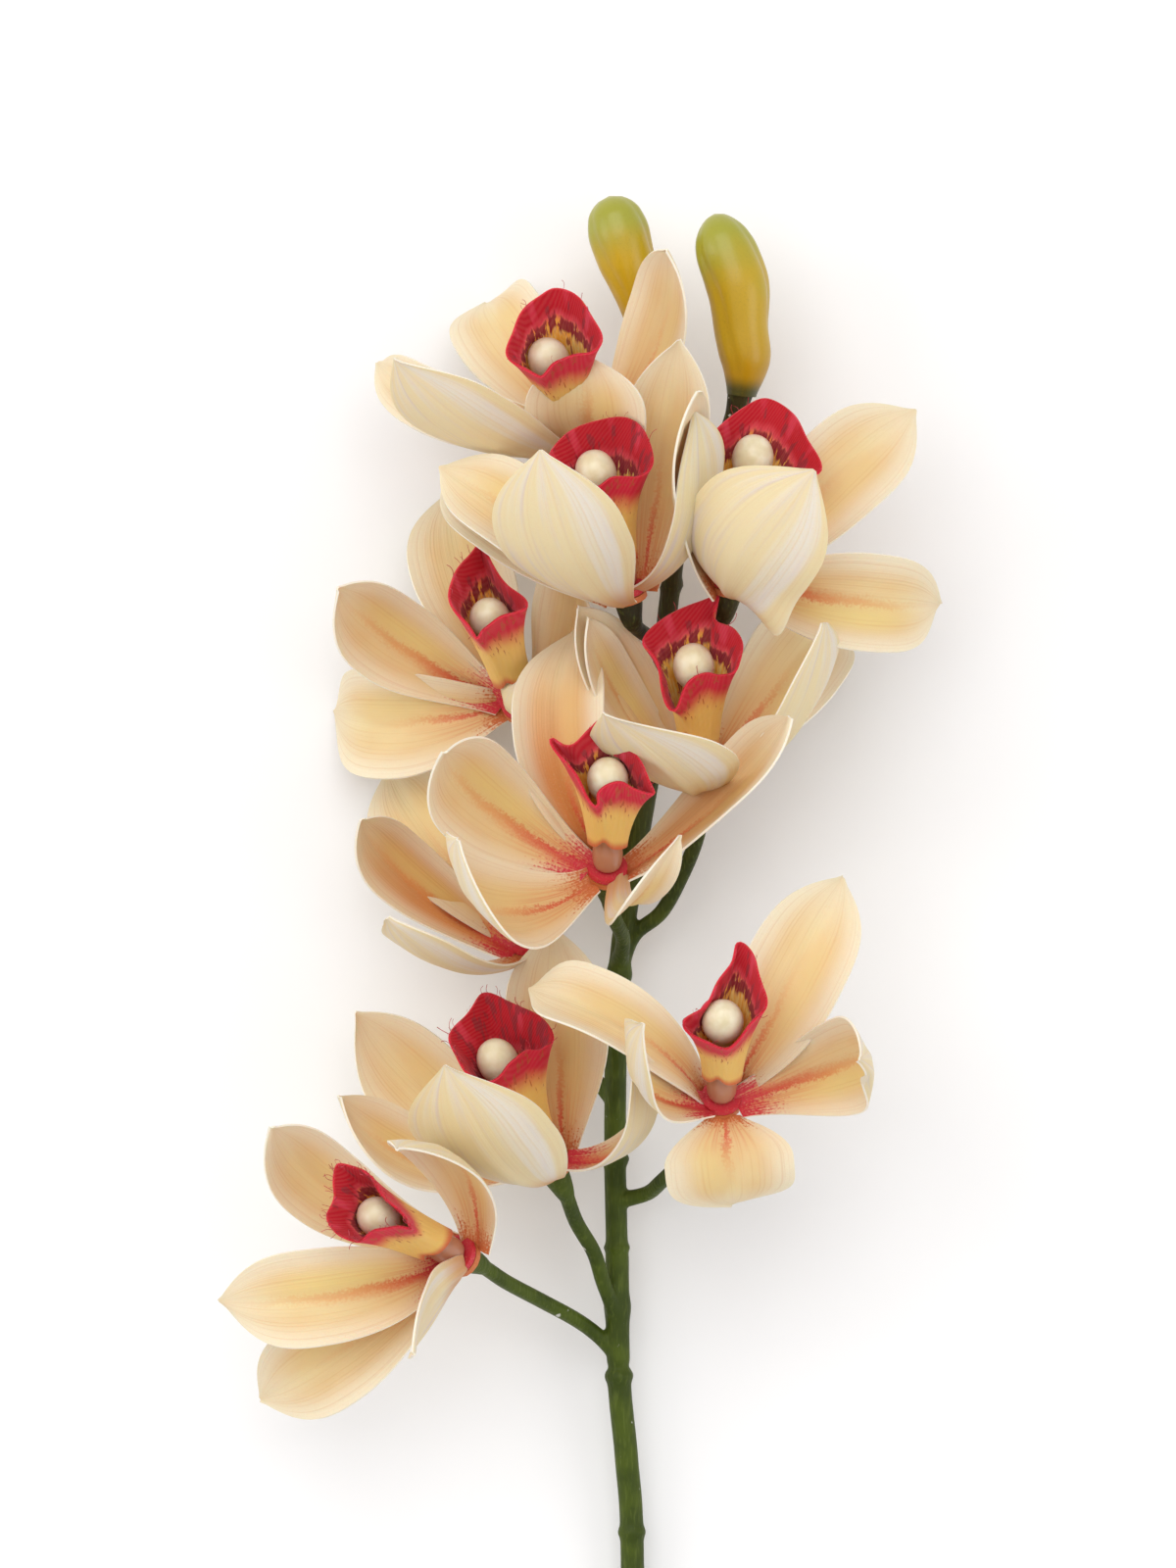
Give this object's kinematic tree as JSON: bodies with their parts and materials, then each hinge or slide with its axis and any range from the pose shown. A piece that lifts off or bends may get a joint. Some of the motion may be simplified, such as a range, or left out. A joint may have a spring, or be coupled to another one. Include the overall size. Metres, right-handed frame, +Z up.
{
  "type": "cymbidium orchid stem",
  "caption": "Cut spray of cream and peach cymbidium orchids with crimson lips and green-gold buds on a slim green stem, lying flat.",
  "frame": {"origin": "middle of the spray's box in plan, at the height of the surface it lies on", "axes": "+Y along the stem from the cut end to the buds, +Z up away from the surface, +X to the right seen from above"},
  "size_m": [0.185, 0.4276, 0.1179],
  "materials": {
    "sepal": "matte, cream to peach, paler outside",
    "petal": "matte, cream with a yellow glow and a red-orange base",
    "lip": "woven, crimson rim with maroon flecks and a golden throat",
    "column": "satin ivory",
    "stem": "satin olive green, ringed",
    "bud": "satin, green at the top and golden at the neck"
  },
  "bodies": {
    "root": {"sepals_1": "sepal", "petals_1": "petal", "lip_1": "lip", "column_1": "column", "sepals_2": "sepal", "petals_2": "petal", "lip_2": "lip", "column_2": "column", "sepals_3": "sepal", "petals_3": "petal", "lip_3": "lip", "column_3": "column", "sepals_4": "sepal", "petals_4": "petal", "lip_4": "lip", "column_4": "column", "sepals_5": "sepal", "petals_5": "petal", "lip_5": "lip", "column_5": "column", "sepals_6": "sepal", "petals_6": "petal", "lip_6": "lip", "column_6": "column", "sepals_7": "sepal", "petals_7": "petal", "lip_7": "lip", "column_7": "column", "sepals_8": "sepal", "petals_8": "petal", "lip_8": "lip", "column_8": "column", "sepals_9": "sepal", "petals_9": "petal", "lip_9": "lip", "column_9": "column", "sepals_10": "sepal", "petals_10": "petal", "lip_10": "lip", "column_10": "column", "stem_lower": "stem", "stem_middle": "stem", "stem_upper": "stem", "pedicel_1": "stem", "pedicel_2": "stem", "pedicel_3": "stem", "pedicel_4": "stem", "pedicel_5": "stem", "pedicel_6": "stem", "pedicel_7": "stem", "pedicel_8": "stem", "pedicel_9": "stem", "pedicel_10": "stem", "bud_stalk": "stem", "bud_1": "bud", "bud_2": "bud"}
  },
  "joints": []
}
